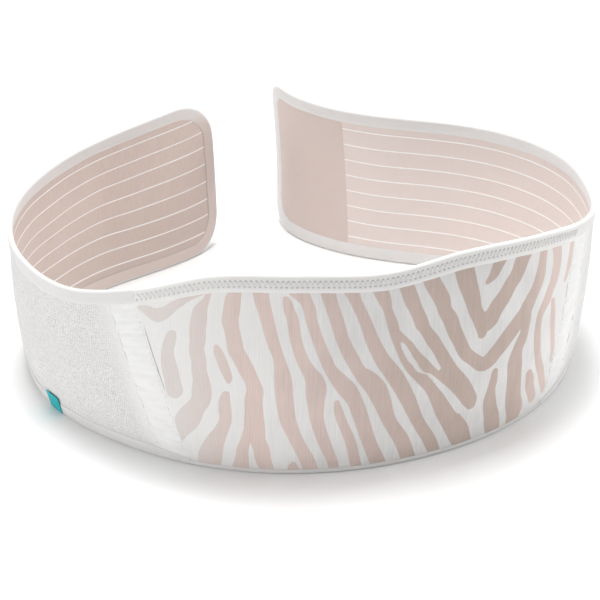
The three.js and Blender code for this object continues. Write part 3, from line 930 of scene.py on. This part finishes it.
@dataclass(frozen=True)
class RibbedLining:
    """Dusty pink brushed lining with thin white lines along its ribs."""

    ground: Colour = (0.72, 0.60, 0.55)
    deep: Colour = (0.61, 0.50, 0.455)
    # Paler copy of the ground: painted light on the right wing's lining.
    pale: Colour = (0.78, 0.695, 0.66)
    shadow: Colour = (0.56, 0.475, 0.435)
    line: Colour = (0.95, 0.93, 0.92)
    tint: Colour = (1.0, 0.9, 0.86)
    line_width: float = 0.88
    stroke: float = 1.3
    lit_zone: tuple[float, float] = (450, 960)
    dark_zone: Span = (70, 240, 400, 600)

    def material(self) -> bpy.types.Material:
        """Builds the lining: fine upright ticks, a fuzzy pile and the white lines.

        Returns:
            The finished material.
        """
        sh = Shader("ribbed lining")
        flat, s, y = sh.cloth()
        tick = sh.noise(flat, (1.9, 0.16, 1.0), 3.0)
        pile = sh.noise(flat, (2.6, 2.2, 2.0), 3.0)
        cloud = sh.noise(flat, (0.03, 0.03, 0.03), 2.0)
        stroke = s.crest(self.stroke, tick * 2.0)
        deep = (tick * 1.1 + stroke * 0.25 + (pile - 0.5) * 0.5).fade(0.25, 1.1)
        pink = sh.mix(deep, self.ground, self.deep)
        pink = sh.mix(cloud * 0.35, pink, self.ground)
        # Painted light: the lining is painted paler towards the right wing, as if lit more.
        pink = sh.mix(s.fade(*self.lit_zone) * 0.9, pink, self.pale)
        pink = sh.mix(s.span(*self.dark_zone) * 0.6, pink, self.shadow)
        low = (1.0 - y.fade(6, 84)) * (1.0 - s.fade(280, 420))
        pink = sh.mix(low * 0.6, pink, self.shadow)
        from_rib = (y - FORM.rib_margin).cell(FORM.rib_pitch).by("ABSOLUTE")
        off = (from_rib + (pile - 0.5) * 0.2).fade(self.line_width * 0.3, self.line_width * 0.75)
        colour = sh.mix(off, self.line, pink)
        normal = sh.bump(pile * 0.8 + stroke * 0.3 + tick * 0.4, 0.45, 0.6)
        return sh.surface(colour, 0.95, normal, 0.35, self.tint)


@dataclass(frozen=True)
class TwillPatch:
    """Plain pink patch with a fine diagonal twill."""

    ground: Colour = (0.75, 0.645, 0.605)
    deep: Colour = (0.64, 0.54, 0.50)
    tint: Colour = (1.0, 0.9, 0.86)
    twill: float = 1.5

    def material(self) -> bpy.types.Material:
        """Builds the patch: diagonal ribs and a short pile.

        Returns:
            The finished material.
        """
        sh = Shader("twill patch")
        flat, s, y = sh.cloth()
        pile = sh.noise(flat, (2.4, 2.4, 2.0), 3.0)
        height = (s + y).crest(self.twill, pile * 1.5) * 0.6 + pile * 0.7
        colour = sh.mix(height.fade(0.3, 1.1), self.deep, self.ground)
        return sh.surface(colour, 0.93, sh.bump(height, 0.4, 0.6), 0.25, self.tint)


@dataclass(frozen=True)
class SmoothTape:
    """White folded tape, whose inner leg can be tinted round the tip and along its edges."""

    ground: Colour = (0.76, 0.745, 0.735)
    name: str = "smooth tape"
    # Tint of the inner leg: its own lining pink round the tip, painted shade on the white tape along the
    # wing's edges.
    inside: Colour | None = None
    deep: Colour = (0.45, 0.44, 0.43)
    # Painted shade of a groove along the inner leg's free edge.
    groove_shade: Colour = (0.36, 0.32, 0.30)
    reach: tuple[float, float] = (0.02, 0.93)
    top_rows: tuple[float, float] = (98, 116)
    thread: float = 0.9

    def material(self) -> bpy.types.Material:
        """Builds the tape: fine cross threads, a soft uneven tone and a tinted inner leg.

        Returns:
            The finished material.
        """
        sh = Shader(self.name)
        flat, s, y = sh.cloth()
        grain = sh.noise(flat, (1.6, 2.2, 2.0), 3.0)
        cloud = sh.noise(flat, (0.08, 0.2, 0.1), 2.0)
        tone = 0.86 + cloud * 0.18 + (grain - 0.5) * 0.10
        colour = sh.mix(tone, self.deep, self.ground)
        if self.inside is not None:
            leg = sh.parts(sh.vector("fold"))[0]
            # Painted shade: the inner leg darkens at its free edge, as in a groove.
            inner = sh.mix(leg.fade(9.0, 10.0) * 0.6, self.inside, self.groove_shade)
            colour = sh.mix(self.around_tip(sh) * (1.0 - y.fade(*self.top_rows) * 0.8), colour, inner)
        normal = sh.bump(s.crest(self.thread, grain) * 0.35 + grain * 0.7, 0.3, 0.5)
        return sh.surface(colour, 0.78 + (grain - 0.5) * 0.2, normal, 0.2)

    def around_tip(self, sh: Shader) -> Wire:
        """Share of the tint: all of it on the inner leg within its reach, none at the fold and beyond it.

        Args:
            sh: Shader to build in.

        Returns:
            The share, 0 to 1.
        """
        leg, travel, depth = sh.parts(sh.vector("fold"))
        start, end = (share * TAPE_TRAVEL for share in self.reach)
        soft = 0.06 * TAPE_TRAVEL
        way = travel.span(start - soft, start + soft, end - soft, end + soft)
        return way * depth.fade(0.4, 1.2) * leg.fade(1.0, 2.4)


@dataclass(frozen=True)
class StitchedTape:
    """White hem pierced by two rows of needle holes."""

    ground: Colour = (0.81, 0.80, 0.785)
    deep: Colour = (0.45, 0.44, 0.43)
    hole: Colour = (0.28, 0.27, 0.26)
    faint_end: tuple[float, float] = (20, 150)

    def material(self) -> bpy.types.Material:
        """Builds the hem: knit grain, and needle holes that are fainter at the left end.

        Returns:
            The finished material.
        """
        sh = Shader("stitched hem")
        flat = sh.vector("flat")
        grain = sh.noise(flat, (1.8, 1.8, 2.0), 3.0)
        cloud = sh.noise(flat, (0.06, 0.2, 0.1), 2.0)
        reach, travel, _ = sh.parts(sh.vector("fold"))
        upper, lower = (self.holes(travel, reach, i * STITCH_PITCH / 2, STITCH_ROWS[i]) for i in (0, 1))
        solid = (upper.by("MINIMUM", lower) + (grain - 0.5) * 0.5).fade(0.0, 1.0)
        tone = 0.86 + cloud * 0.2 + (grain - 0.5) * 0.10
        plain = sh.mix(tone, self.deep, self.ground)
        clear = solid.by("MAXIMUM", 0.7 - travel.fade(*self.faint_end) * 0.7)
        colour = sh.mix(clear, self.hole, plain)
        normal = sh.bump(solid + grain * 0.25, 0.6, 0.6)
        return sh.surface(colour, 0.85, normal, 0.2)

    def holes(self, travel: Wire, reach: Wire, start: float, row: float) -> Wire:
        """Distance from the nearest needle hole of one row.

        Args:
            travel: Way along the hem.
            reach: Distance from the hem's fold.
            start: Shift of the row along the hem.
            row: Distance of the row from the fold.

        Returns:
            The distance in millimetres.
        """
        side = (travel - start).cell(STITCH_PITCH)
        up = reach - row
        return (side * side + up * up * 0.45).by("SQRT")


@dataclass(frozen=True)
class Thread:
    """Sewing thread with a slight twist."""

    ground: Colour = (0.86, 0.85, 0.84)

    def material(self) -> bpy.types.Material:
        """Builds the thread: a fine uneven tone.

        Returns:
            The finished material.
        """
        sh = Shader("sewing thread")
        grain = sh.noise(sh.vector("flat"), (3.0, 3.0, 3.0), 2.0)
        dark = tuple(0.85 * channel for channel in self.ground)
        colour = sh.mix(grain, dark, self.ground)
        return sh.surface(colour, 0.7, sh.bump(grain, 0.1, 0.5), 0.2)


@dataclass(frozen=True)
class TealTag:
    """Bright teal woven tag."""

    ground: Colour = (0.012, 0.50, 0.54)
    weave: float = 0.7

    def material(self) -> bpy.types.Material:
        """Builds the tag: a fine plain weave.

        Returns:
            The finished material.
        """
        sh = Shader("teal tag")
        flat, s, y = sh.cloth()
        grain = sh.noise(flat, (1.5, 1.5, 1.5), 2.0)
        weave = s.wave(self.weave) * y.wave(self.weave) * 0.5 + 0.5
        dark = tuple(0.72 * channel for channel in self.ground)
        colour = sh.mix(weave * 0.4 + grain * 0.6, dark, self.ground)
        return sh.surface(colour, 0.6, sh.bump(weave, 0.15, 0.5), 0.1, (0.8, 1.0, 1.0))


@dataclass(frozen=True)
class PaleFloor:
    """Plain pale floor."""

    ground: Colour = (0.93, 0.93, 0.93)

    def material(self) -> bpy.types.Material:
        """Builds the floor's plain matt surface."""
        return Shader("pale floor").surface(self.ground, 0.9, None, 0.0)


@dataclass(frozen=True)
class Finishes:
    """All materials of the belt, built once."""

    jersey: bpy.types.Material = field(default_factory=PrintedJersey().material)
    elastic: bpy.types.Material = field(default_factory=WovenElastic().material)
    lining: bpy.types.Material = field(default_factory=RibbedLining().material)
    patch: bpy.types.Material = field(default_factory=TwillPatch().material)
    tape: bpy.types.Material = field(default_factory=SmoothTape().material)
    left_tape: bpy.types.Material = field(
        default_factory=SmoothTape(name="left tape", inside=(0.66, 0.57, 0.53)).material
    )
    strip: bpy.types.Material = field(
        default_factory=SmoothTape((0.86, 0.855, 0.85), "join strip cloth").material
    )
    hem: bpy.types.Material = field(default_factory=StitchedTape().material)
    thread: bpy.types.Material = field(default_factory=Thread().material)
    tag: bpy.types.Material = field(default_factory=TealTag().material)


@dataclass
class Dressed:
    """One dressed piece and what it stands for."""

    made: bpy.types.Object
    material: bpy.types.Material
    slot: str

    def put_on(self, *nodes: str) -> bpy.types.Object:
        """Gives the piece its material and its place in the frame.

        Args:
            *nodes: Solids that it replaces.

        Returns:
            The piece.
        """
        self.made.data.materials.append(self.material)
        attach(self.made, "root")
        if nodes:
            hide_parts(*nodes)
        LOG.info("%s: %d faces", self.made.name, len(self.made.data.polygons))
        return self.made


def rows_between(low: float, high: float, step: float) -> np.ndarray:
    """Evenly spaced rows from low to high, about one step apart."""
    return np.linspace(low, high, max(2, round((high - low) / step) + 1))


@dataclass
class ZebraPrint:
    """Zebra stripes charted in the panel's flat cloth."""

    step: float = 2.0

    def spine(self, rows: Table) -> np.ndarray:
        """Smooth spine of one stripe.

        Args:
            rows: Places and widths down the stripe.

        Returns:
            Rows of place along, place up and half width.
        """
        knots = np.array(rows, float)
        lengths = np.linalg.norm(np.diff(knots[:, :2], axis=0), axis=1)
        at = np.concatenate([[0], np.cumsum(lengths)])
        table = np.concatenate([at[:, None], knots], 1)
        fine = np.linspace(0, at[-1], max(4, int(at[-1] / self.step)))
        return np.stack([along(table, 1, fine), along(table, 2, fine), along(table, 3, fine) / 2], 1)

    def distance(self, s: np.ndarray, y: np.ndarray) -> np.ndarray:
        """Signed distance to the print, negative inside a stripe.

        Args:
            s: Places along the belt.
            y: Heights in the panel.

        Returns:
            The distance in millimetres at each place.
        """
        return np.maximum(self.nearest(STRIPES, s, y), -self.nearest(BARE, s, y))

    def nearest(self, chart: dict[str, Table], s: np.ndarray, y: np.ndarray) -> np.ndarray:
        """Signed distance to the nearest stroke of a chart.

        Args:
            chart: Strokes by name.
            s: Places along the belt.
            y: Heights in the panel.

        Returns:
            The distance in millimetres at each place, negative inside a stroke.
        """
        place = np.stack([s.ravel(), y.ravel()], 1)
        nearest = np.full(len(place), 40.0)
        for rows in chart.values():
            line = self.spine(rows)
            reach = line[:, 2].max() + 8
            low, high = line[:, :2].min(0) - reach, line[:, :2].max(0) + reach
            near = np.where(((place > low) & (place < high)).all(1))[0]
            if not len(near):
                continue
            start, run = line[:-1], np.diff(line, axis=0)
            gap = place[near, None] - start[None, :, :2]
            t = np.clip((gap * run[None, :, :2]).sum(-1) / (run[:, :2] ** 2).sum(-1), 0, 1)
            off = np.linalg.norm(gap - t[..., None] * run[None, :, :2], axis=-1)
            off -= start[None, :, 2] + t * run[None, :, 2]
            nearest[near] = np.minimum(nearest[near], off.min(1))
        return nearest.reshape(s.shape)


@dataclass
class FrontPanel:
    """Tall printed panel with its stitched top hem and its narrow bottom hem."""

    finishes: Finishes
    top_width: float = 12.0
    hem_width: float = 4.0
    step: float = 1.25
    seam_pull: float = 6.0
    thread_radius: float = 0.42

    def cloth(self) -> None:
        """Builds the printed jersey wall, drawn in a little at both seams."""
        form = FORM
        share = rows_between(0, 1, self.step / form.panel_length)[:, None]
        y = rows_between(form.inset, form.panel_height - form.inset, self.step)[None, :]
        s = form.panel_place(share, y)
        y = y + 0 * s
        seam = np.clip(1 - np.minimum(share, 1 - share) * form.panel_length / self.seam_pull, 0, 1)
        relief = 0.22 * ripple(s, y, 46, 1.3) + 0.10 * ripple(s, y * 0.25, 9, 4.2)
        clear = np.minimum(y - self.hem_width, form.panel_height - self.top_width - y)
        relief = relief * np.clip(clear / 6, 0, 1) - 0.12 * seam**2
        depths = (-form.half_wall - relief, form.half_wall - 0.5 * relief)
        printed = np.stack([ZebraPrint().distance(s, y), share * form.panel_length + 0 * s, 0 * s], -1)
        marks = {"print": (printed, np.full(printed.shape, 20.0))}
        made = cloth_layer("printed_panel", (s, y), depths, form.panel_height, marks)
        Dressed(made, self.finishes.jersey, "printed_cloth").put_on("front_panel")

    def edge_tape(self, edge: Edge, width: float, name: str, node: str) -> bpy.types.Object:
        """Builds the folded hem along one long edge.

        Args:
            edge: Which long edge.
            width: Width of each leg.
            name: Name of the piece.
            node: Solid that it replaces.

        Returns:
            The hem.
        """
        form = FORM
        fold = TapeFold(width, pinch_rows=STITCH_ROWS if edge is Edge.TOP else ())
        share = rows_between(0, 1, 0.8 / form.panel_length)[:, None]

        def flat(reach: np.ndarray) -> tuple[np.ndarray, np.ndarray]:
            """Flat places of distances from the fold.

            Args:
                reach: The distances, one row for each station.

            Returns:
                Places along the belt, and heights.
            """
            y = form.panel_height - reach if edge is Edge.TOP else reach
            y = y + 0 * share
            return form.panel_place(share, y), y

        wave = 0.16 * ripple(share * form.panel_length, 0, 17, 2.1)
        made = fold.build(name, flat, form.panel_height, wave, share * form.panel_length)
        finish = self.finishes.hem if edge is Edge.TOP else self.finishes.tape
        Dressed(made, finish, "white_tape").put_on(node)
        return made

    def zigzag(self) -> bpy.types.Object:
        """Builds the raised zigzag threads of the top hem, on both faces.

        Returns:
            The threads.
        """
        form = FORM
        high, low = STITCH_ROWS
        turns = int(form.panel_length / STITCH_PITCH) * 2 - 1
        knots = np.arange(turns)
        at = (1 + knots / 2) * STITCH_PITCH
        reach = np.where(knots % 2 == 0, high, low) + 0.12 * ripple(at, 0, 5, 3.0)
        fine = np.linspace(0, turns - 1, turns * 5 - 4)
        share = np.interp(fine, knots, at) / form.panel_length
        y = form.panel_height - np.interp(fine, knots, reach)
        hump = 0.30 * np.abs(np.sin(math.pi * fine)) ** 0.6 - 0.12
        runs = []
        for face in (-1, 1):
            depth = face * (form.half_wall + form.inset + hump)
            runs.append(form.place(form.panel_place(share, y), y, depth, form.panel_height))
        made = thread_object("panel_zigzag", runs, self.thread_radius * MM)
        return Dressed(made, self.finishes.thread, "white_tape").put_on()

    def build(self) -> None:
        """Builds all pieces of the panel."""
        form = FORM
        self.cloth()
        top = self.edge_tape(Edge.TOP, self.top_width, "panel_top_hem", "panel_top_binding")
        threads = self.zigzag()
        wide = TapeFold(self.top_width).flat_width
        flat = (wide * MM, form.panel_length * MM)
        hem = self.edge_tape(Edge.BOTTOM, self.hem_width, "panel_bottom_hem", "panel_hem")
        wide = TapeFold(self.hem_width).flat_width
        wide * MM


@dataclass
class TapeFold:
    """Tape folded over an edge of the cloth: two flat legs and a rounded fold."""

    width: float
    pinch_rows: tuple[float, ...] = ()
    leg_points: int = 12
    fold_points: int = 15
    round_fold: float = 4.0
    squareness: float = 0.8
    pressed: float = 0.75

    @property
    def flat_width(self) -> float:
        """Width of the tape laid flat: both legs and what goes round the fold."""
        return 2 * self.width + self.round_fold

    def chain(self) -> tuple[np.ndarray, np.ndarray, np.ndarray, np.ndarray]:
        """Section of the tape, from the outer free edge over the fold to the inner one.

        Returns:
            Depth and distance from the fold of the outer face, then of the inner face.
        """
        form = FORM
        half = form.half_wall + form.inset
        bend = min(2.4, self.width / 2)
        turn = np.linspace(0, math.pi, self.fold_points)[1:-1]
        leg = np.linspace(self.width, bend, self.leg_points)
        cos = np.sign(np.cos(turn)) * np.abs(np.cos(turn)) ** self.squareness
        sin = np.sin(turn) ** self.squareness
        free = np.exp(-(((leg - self.width) / 1.3) ** 2))
        pressed = self.pressed * free
        for row in self.pinch_rows:
            pressed = pressed + 0.12 * np.exp(-(((leg - row) / 0.8) ** 2))
        outer_depth = np.concatenate([-(half - pressed), -half * cos, (half - pressed)[::-1]])
        outer_reach = np.concatenate([leg, bend * (1 - sin), leg[::-1]])
        inner_half = half - form.tape
        lying = inner_half - (form.gap - 0.02) * free
        inner_depth = np.concatenate([-lying, -inner_half * cos, lying[::-1]])
        inner_reach = np.concatenate([leg, form.tape + (bend - form.tape) * (1 - sin), leg[::-1]])
        return outer_depth, outer_reach, inner_depth, inner_reach

    def build(
        self, name: str, flat: object, nominal: float, wave: np.ndarray, travel: np.ndarray
    ) -> bpy.types.Object:
        """Builds the tape along a path.

        Args:
            name: Name of the piece.
            flat: Function from distances from the fold to flat places, one row for each station.
            nominal: Height of the flat cloth.
            wave: Small shift of the legs' width at each station.
            travel: Way along the tape to each station.

        Returns:
            The tape's object.
        """
        outer_depth, outer_reach, inner_depth, inner_reach = self.chain()
        spread = 1 + wave / self.width
        faces, marks, folds = [], [], []
        for depth, reach in ((outer_depth, outer_reach), (inner_depth, inner_reach)):
            s, y = flat(reach[None, :] * spread)
            faces.append(FORM.place(s, y, depth[None, :], nominal))
            marks.append(np.stack([s, y, depth[None, :] + 0 * s], -1))
            folds.append(np.stack([reach[None, :] + 0 * s, travel + 0 * s, depth[None, :] + 0 * s], -1))
        return closed_slab(name, faces[0], faces[1], {"flat": tuple(marks), "fold": tuple(folds)})


@dataclass
class Wing:
    """One wing: elastic outside, lining inside, join strip, and the tape folded round its edges.

    A row of tape_steps holds the start and end of a stretch of the tape, and its stations.
    """

    side: Side
    finishes: Finishes
    tape_width: float = 10.0
    end_taper: float = 5.0
    taper_length: float = 40.0
    tape_steps: Table = ((0, 1, 14), (1, 2, 190), (2, 3, 24), (3, 4, 10), (4, 5, 24), (5, 5.5, 26))
    rib_width: float = 1.4
    rib_height: float = 0.45
    seam_pitch: float = 3.2
    seam_stitch: float = 2.3
    seam_offset: float = 1.6

    def grid(self, first: float, last: float, column_step: float, row_step: float) -> tuple:
        """Grid of flat places on the wing.

        Args:
            first: Zone where it starts, nearer the tip.
            last: Zone where it ends.
            column_step: Distance between columns.
            row_step: Distance between rows.

        Returns:
            Places along the belt, heights, and distances from the tip.
        """
        form = FORM
        lengths = (form.corner_zone, form.patch_length - form.corner_zone,
                   form.wing_length - form.patch_length, form.strip_length)
        spans = range(int(first), int(last))
        zones = [rows_between(i, i + 1, column_step / lengths[i])[:-1] for i in spans]
        zone = np.concatenate([*zones, [last]])[:, None]
        y = rows_between(form.inset, form.wing_height - form.inset, row_step)[None, :]
        distance = form.wing_distance(self.side, zone, y)
        y = y + 0 * distance
        return form.from_tip(self.side, distance, y), y, distance

    def layer(self, name: str, grid: tuple, outer: np.ndarray, inner: np.ndarray) -> bpy.types.Object:
        """Builds one layer from its grid and the depths of its faces."""
        return cloth_layer(f"{self.side.value}_{name}", grid[:2], (outer, inner), FORM.wing_height)

    def clear_of_tape(self, y: np.ndarray, distance: np.ndarray) -> np.ndarray:
        """Share of a relief that is kept: none under the tape, all of it in the open."""
        edge = np.minimum(np.minimum(y, FORM.wing_height - y), distance)
        return np.clip((edge - self.tape_width) / 5, 0, 1)

    def elastic(self) -> None:
        """Builds the elastic outer layer."""
        form = FORM
        grid = self.grid(0, 3, 1.6, 1.6)
        s, y, distance = grid
        relief = 0.25 * ripple(s, y, 34, 2.7) + 0.07 * ripple(s, y, 5, 5.1)
        relief = relief * self.clear_of_tape(y, distance)
        made = self.layer("elastic", grid, -form.half_wall - relief, form.elastic - form.half_wall)
        Dressed(made, self.finishes.elastic, "white_elastic").put_on(f"{self.side.value}_wing_elastic")

    def lining(self) -> None:
        """Builds the ribbed lining, which stops at the end patch on the right wing."""
        form = FORM
        first = 0 if self.side is Side.LEFT else 2
        grid = self.grid(first, 3, 3.0, 0.5)
        s, y, distance = grid
        pitch = form.rib_pitch
        nearest = np.clip(np.round((y - form.rib_margin) / pitch), 0, form.rib_count - 1)
        off = np.abs(y - form.rib_margin - nearest * pitch)
        ridge = self.rib_height * np.cos(np.clip(off / self.rib_width, 0, 1) * math.pi / 2) ** 2
        swell = 0.35 * np.sin(math.pi * np.clip((off - 1) / (pitch / 2 - 1), 0, 1) / 2)
        relief = (ridge + swell + 0.10 * ripple(s, y, 30, 3.3)) * self.clear_of_tape(y, distance)
        made = self.layer("lining", grid, form.half_wall - form.lining, form.half_wall + relief)
        Dressed(made, self.finishes.lining, "pink_lining").put_on(f"{self.side.value}_wing_lining")
        length = form.wing_length - (0 if first == 0 else form.patch_length)
        length * MM

    def strip(self) -> None:
        """Builds the plain join strip, slightly puckered by its seams."""
        form = FORM
        grid = self.grid(3, 4, 0.8, 0.9)
        _, y, distance = grid
        near, far = distance[:1], distance[-1:]
        share = (distance - near) / (far - near)
        crown = np.sin(math.pi * share)
        pucker = 0.42 * ripple(y, share * 9, 6.5, 1.9) + 0.40 * crown
        relief = pucker * self.clear_of_tape(y, distance) - 0.12 * (1 - crown)
        made = self.layer("join_strip", grid, -form.half_wall - relief, form.half_wall + 0.6 * relief)
        Dressed(made, self.finishes.strip, "white_elastic").put_on(f"{self.side.value}_join_strip")
        seams = self.seam_threads()

    def seam_threads(self) -> bpy.types.Object:
        """Builds the straight stitches beside the strip's seam with the panel.

        Returns:
            The threads.
        """
        form = FORM
        runs = []
        way = np.linspace(0, 1, 6)
        depth = -(form.half_wall + 0.22 * np.sin(math.pi * way) - 0.05)
        last = form.wing_height - self.tape_width - 4
        for start in np.arange(self.tape_width + 2, last, self.seam_pitch):
            y = start + way * self.seam_stitch
            distance = form.wing_distance(self.side, np.full(6, 4.0), y) - self.seam_offset
            runs.append(form.place(form.from_tip(self.side, distance, y), y, depth, form.wing_height))
        made = thread_object(f"{self.side.value}_seam_stitches", runs, 0.12 * MM)
        return Dressed(made, self.finishes.thread, "white_elastic").put_on()

    def tape_place(self, t: float, reach: np.ndarray) -> tuple[np.ndarray, np.ndarray]:
        """Flat place on the tape.

        Args:
            t: Way round the tape: 0 to 3 along the bottom edge, 3 to 4 on to the corner, 4 to 5 round
                it, 5 to 6 up the tip, 6 to 7 round the other corner, 7 to 11 back along the top edge.
            reach: Distances from the fold.

        Returns:
            Distances from the tip, and heights.
        """
        form = FORM
        upper = t > TAPE_END / 2
        t = TAPE_END - t if upper else t
        radius = form.corner_radius(self.side, Edge.TOP if upper else Edge.BOTTOM)
        distance, y = 0 * reach, reach
        if t <= 3:
            level = form.wing_height - reach if upper else reach
            distance = form.wing_distance(self.side, np.array(4.0 - t), level)
        elif t <= 4:
            distance = distance + form.corner_zone + (radius - form.corner_zone) * (t - 3)
        elif t <= 5:
            angle, arm = (t - 4) * math.pi / 2, radius - reach
            distance, y = radius - arm * math.sin(angle), radius - arm * math.cos(angle)
        else:
            distance, y = reach, radius + (t - 5) * (form.wing_height - 2 * radius) + 0 * reach
        return distance, form.wing_height - y if upper else y

    def tape(self) -> None:
        """Builds the tape folded round the wing's edges."""
        form = FORM
        half = np.concatenate([np.linspace(a, b, n, endpoint=False) for a, b, n in self.tape_steps])
        stations = np.concatenate([half, [TAPE_END / 2], (TAPE_END - half)[::-1]])

        def flat(reach: np.ndarray) -> tuple[np.ndarray, np.ndarray]:
            """Flat places of distances from the fold.

            Args:
                reach: The distances, one row for each station.

            Returns:
                Places along the belt, and heights.
            """
            rows = [self.tape_place(float(t), reach[i]) for i, t in enumerate(stations)]
            distance, y = (np.stack([row[i] for row in rows]) for i in (0, 1))
            return form.from_tip(self.side, distance, y), y

        travel = np.interp(stations, range(len(TAPE_MARKS)), TAPE_MARKS)[:, None]
        wave = 0.22 * ripple(travel, 0, 26, 1.1 if self.side is Side.LEFT else 2.3)
        wave = wave - self.end_taper * np.clip(1 - travel / self.taper_length, 0, 1) ** 2
        fold = TapeFold(self.tape_width)
        made = fold.build(f"{self.side.value}_edge_tape", flat, form.wing_height, wave, travel)
        finish = self.finishes.left_tape if self.side is Side.LEFT else self.finishes.tape
        Dressed(made, finish, "white_tape").put_on(f"{self.side.value}_wing_binding")
        fold.flat_width * MM

    def build(self) -> None:
        """Builds all pieces of the wing."""
        self.elastic()
        self.lining()
        self.strip()
        self.tape()


@dataclass
class EndPatch:
    """Plain patch inside the right tip."""

    finishes: Finishes

    def build(self) -> None:
        """Builds the patch."""
        form = FORM
        wing = Wing(Side.RIGHT, self.finishes)
        s, y, distance = wing.grid(0, 2, 1.5, 1.5)
        relief = 0.2 * ripple(s, y, 40, 0.7) * wing.clear_of_tape(y, distance)
        edge = np.clip((distance[-1:] - distance) / 2.2, 0, 1)
        depths = (form.half_wall - form.lining, form.half_wall + relief + 0.25 * edge)
        made = cloth_layer("right_end_patch", (s, y), depths, form.wing_height)
        Dressed(made, self.finishes.patch, "plain_pink").put_on("end_patch")


@dataclass
class SideTag:
    """Small teal tag over the left wing's bottom tape."""

    finishes: Finishes
    length: float = 13.5
    height: float = 14.5
    from_tip: float = 275.5
    thickness: float = 0.8
    step: float = 0.6

    def build(self) -> None:
        """Builds the tag."""
        form = FORM
        s = rows_between(self.from_tip, self.from_tip + self.length, self.step)[:, None]
        y = rows_between(form.tape, form.tape + self.height, self.step)[None, :]
        back = -(form.half_wall + form.inset + form.gap)
        edge = np.minimum(np.minimum(s - self.from_tip, self.from_tip + self.length - s),
                          np.minimum(y - form.tape, form.tape + self.height - y))
        outer = back - self.thickness + 0.25 * np.clip(1 - edge / self.thickness, 0, 1)
        made = cloth_layer("teal_side_tag", (s, y), (outer, back), form.wing_height)
        Dressed(made, self.finishes.tag, "teal_cloth").put_on("side_tag")
        self.height * MM


@dataclass(frozen=True)
class Lamp:
    """One soft square light: its place and side in metres, its power in watts."""

    name: str
    place: tuple[float, float, float]
    size: float
    power: float

    def build(self, aim: Vector) -> None:
        """Adds the light.

        Args:
            aim: Point that it shines at.
        """
        lamp = bpy.data.lights.new(self.name, "AREA")
        lamp.size, lamp.energy = self.size, self.power
        made = bpy.data.objects.new(self.name, lamp)
        made.location = self.place
        made.rotation_euler = (aim - Vector(self.place)).to_track_quat("-Z", "Y").to_euler()
        bpy.context.scene.collection.objects.link(made)


@dataclass
class Studio:
    """Pale floor, soft light and the camera."""

    floor_size: float = 8.0
    floor_corners: int = 9
    floor_level: float = -0.0003
    sky_strength: float = 0.43
    lit_point: tuple[float, float, float] = (0.0, 0.0, 0.05)
    lamps: tuple[Lamp, ...] = (
        Lamp("overhead light", (-0.08, 0.17, 1.95), 0.6, 32.0),
        Lamp("left light", (-1.8, -0.8, 0.9), 1.0, 12.5),
        Lamp("right light", (1.8, 0.35, 0.8), 1.0, 15.0),
    )
    target: tuple[float, float, float] = (-0.0015, -0.0352, 0.05)
    distance: float = 1.1175
    pitch: float = 33.0
    lens: float = 96.0

    def floor(self) -> None:
        """Builds the floor."""
        half = self.floor_size / 2
        ticks = np.linspace(-half, half, self.floor_corners).tolist()
        points = [(x, y, self.floor_level) for x in ticks for y in ticks]
        mesh = bpy.data.meshes.new("floor")
        mesh.from_pydata(points, [], grid_quads(self.floor_corners, self.floor_corners).tolist())
        made = bpy.data.objects.new("floor", mesh)
        bpy.context.scene.collection.objects.link(made)
        mesh.materials.append(PaleFloor().material())

    def surroundings(self) -> None:
        """Lights the scene evenly from all sides."""
        world = bpy.data.worlds.new("soft studio")
        world.use_nodes = True
        sky = world.node_tree.nodes["Background"]
        sky.inputs["Color"].default_value = (*WHITE, 1.0)
        sky.inputs["Strength"].default_value = self.sky_strength
        bpy.context.scene.world = world
        bpy.context.scene.view_settings.view_transform = "Standard"

    def camera(self) -> None:
        """Adds the camera at the photograph's angle."""
        lens = bpy.data.cameras.new("camera")
        lens.lens, lens.sensor_width = self.lens, 36.0
        made = bpy.data.objects.new("camera", lens)
        tilt = math.radians(self.pitch)
        back = Vector((0, -math.cos(tilt), math.sin(tilt))) * self.distance
        made.location = Vector(self.target) + back
        made.rotation_euler = (math.pi / 2 - tilt, 0, 0)
        bpy.context.scene.collection.objects.link(made)
        bpy.context.scene.camera = made

    def build(self) -> None:
        """Builds the whole studio."""
        self.floor()
        self.surroundings()
        for lamp in self.lamps:
            lamp.build(Vector(self.lit_point))
        self.camera()


def main() -> None:
    """Dresses the belt piece by piece and sets up the studio."""
    logging.basicConfig(level=logging.INFO, format="%(name)s: %(message)s")
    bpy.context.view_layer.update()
    finishes = Finishes()
    FrontPanel(finishes).build()
    for side in Side:
        Wing(side, finishes).build()
    EndPatch(finishes).build()
    SideTag(finishes).build()
    Studio().build()


if __name__ == "__main__":
    main()
